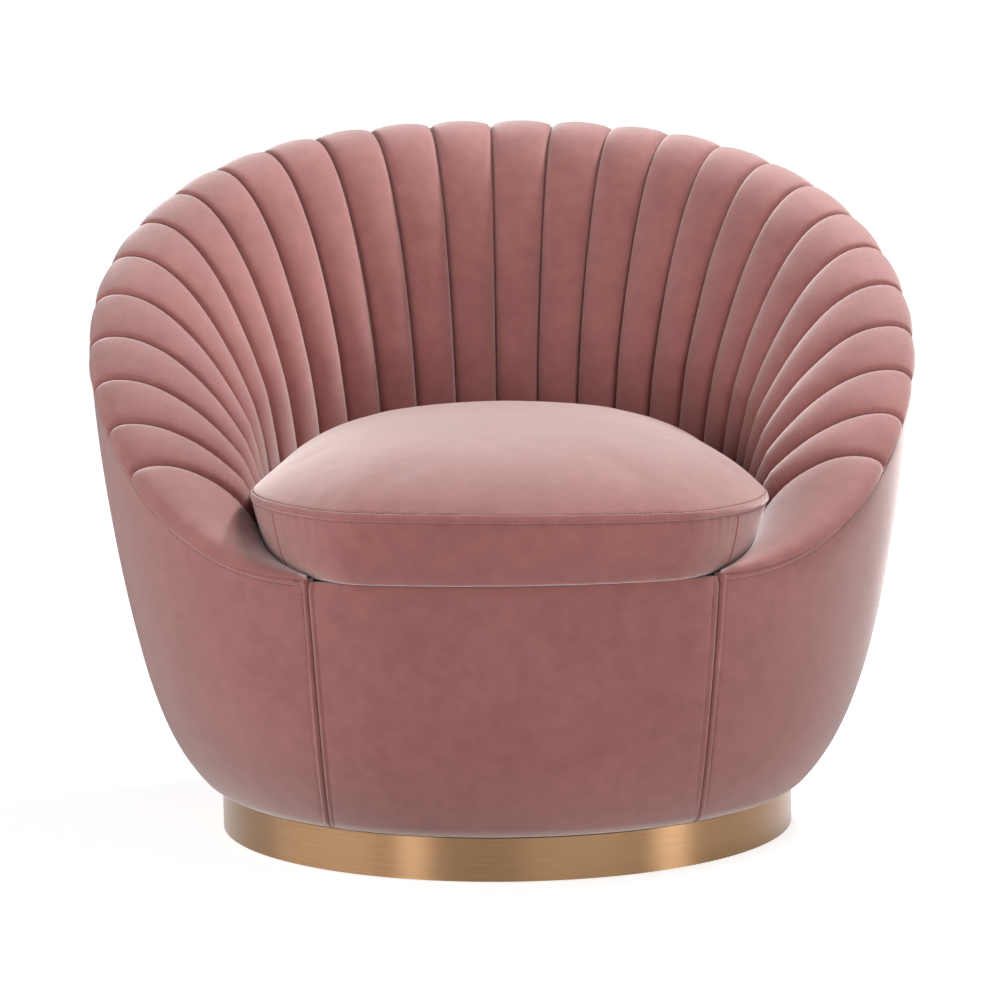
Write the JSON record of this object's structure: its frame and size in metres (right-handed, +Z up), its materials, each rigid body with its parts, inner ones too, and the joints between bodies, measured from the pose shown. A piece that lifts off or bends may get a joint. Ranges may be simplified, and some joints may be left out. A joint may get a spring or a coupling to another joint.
{
  "type": "swivel glider tub chair",
  "caption": "Round velvet tub chair with a channelled back that rolls over its rim, a loose crowned seat cushion and a brass plinth on which the body swivels and glides.",
  "frame": {"origin": "on the floor, at the swivel axis in the middle of the plinth", "axes": "+Z up, -Y towards the front of the chair, +X to the right of someone who looks at the front"},
  "size_m": [0.815, 0.8102, 0.6907],
  "materials": {
    "velvet": "dusty rose short-pile velvet over foam",
    "cushion_velvet": "dusty rose short-pile velvet over a foam and fibre fill",
    "brushed_brass": "brushed around, clear lacquered",
    "felt": "pressed felt",
    "fibreboard": "raw fibreboard",
    "plywood": "raw birch plywood",
    "webbing": "woven elastic webbing",
    "bearing_steel": "bright zinc",
    "plate_steel": "zinc plated sheet",
    "black_steel": "black powder coat",
    "nylon": "natural nylon"
  },
  "bodies": {
    "base": {"floor_pad": "felt", "plinth_core": "fibreboard", "plinth_band": "brushed_brass", "swivel_lower_plate": "plate_steel", "plate_screws": "bearing_steel", "king_bolt": "bearing_steel"},
    "bearing": {"ball_cage": "nylon", "bearing_balls": "bearing_steel"},
    "swivel_frame": {"swivel_upper_plate": "plate_steel", "cross_rails": "black_steel", "right_side_plate": "black_steel", "left_side_plate": "black_steel", "upper_pivot_pins": "bearing_steel"},
    "seat_body": {"channel_cover": "velvet", "outer_cover_left": "velvet", "outer_cover_right": "velvet", "front_panel": "velvet", "seat_deck": "velvet", "seat_frame": "plywood", "webbing_long": "webbing", "webbing_cross": "webbing", "bottom_ring": "plywood", "frame_ribs": "plywood", "rim_rail": "plywood", "right_carriage_plate": "black_steel", "left_carriage_plate": "black_steel", "lower_pivot_pins": "bearing_steel", "seat_bolts": "bearing_steel"},
    "cushion": {"seat_cushion": "cushion_velvet"},
    "link_front_left": {"front_left_link": "black_steel", "front_left_bushes": "nylon"},
    "link_front_right": {"front_right_link": "black_steel", "front_right_bushes": "nylon"},
    "link_rear_left": {"rear_left_link": "black_steel", "rear_left_bushes": "nylon"},
    "link_rear_right": {"rear_right_link": "black_steel", "rear_right_bushes": "nylon"}
  },
  "joints": [
    {"name": "swivel", "type": "hinge", "parent": "base", "child": "swivel_frame", "pos_m": [0, 0, 0.049], "axis": [0, 0, 1], "continuous": true},
    {"name": "bearing_roll", "type": "hinge", "parent": "base", "child": "bearing", "pos_m": [0, 0, 0.049], "axis": [0, 0, 1], "continuous": true},
    {"name": "glide", "type": "hinge", "parent": "swivel_frame", "child": "link_front_left", "pos_m": [-0.1445, -0.08, 0.202], "axis": [1, 0, 0], "range_deg": [-25, 25]},
    {"name": "front_right_swing", "type": "hinge", "parent": "swivel_frame", "child": "link_front_right", "pos_m": [0.1445, -0.08, 0.202], "axis": [1, 0, 0], "range_deg": [-26, 26]},
    {"name": "rear_left_swing", "type": "hinge", "parent": "swivel_frame", "child": "link_rear_left", "pos_m": [-0.1445, 0.08, 0.202], "axis": [1, 0, 0], "range_deg": [-26, 26]},
    {"name": "rear_right_swing", "type": "hinge", "parent": "swivel_frame", "child": "link_rear_right", "pos_m": [0.1445, 0.08, 0.202], "axis": [1, 0, 0], "range_deg": [-26, 26]},
    {"name": "seat_level", "type": "hinge", "parent": "link_front_left", "child": "seat_body", "pos_m": [-0.1445, -0.08, 0.082], "axis": [1, 0, 0], "range_deg": [-26, 26]},
    {"name": "cushion_lift", "type": "slide", "parent": "seat_body", "child": "cushion", "axis": [0, 0, 1], "range_m": [0, 0.25]}
  ],
  "couplings": [
    {"joint": "bearing_roll", "follows": "swivel", "ratio": 0.5},
    {"joint": "front_right_swing", "follows": "glide", "ratio": 1},
    {"joint": "rear_left_swing", "follows": "glide", "ratio": 1},
    {"joint": "rear_right_swing", "follows": "glide", "ratio": 1},
    {"joint": "seat_level", "follows": "glide", "ratio": -1}
  ]
}
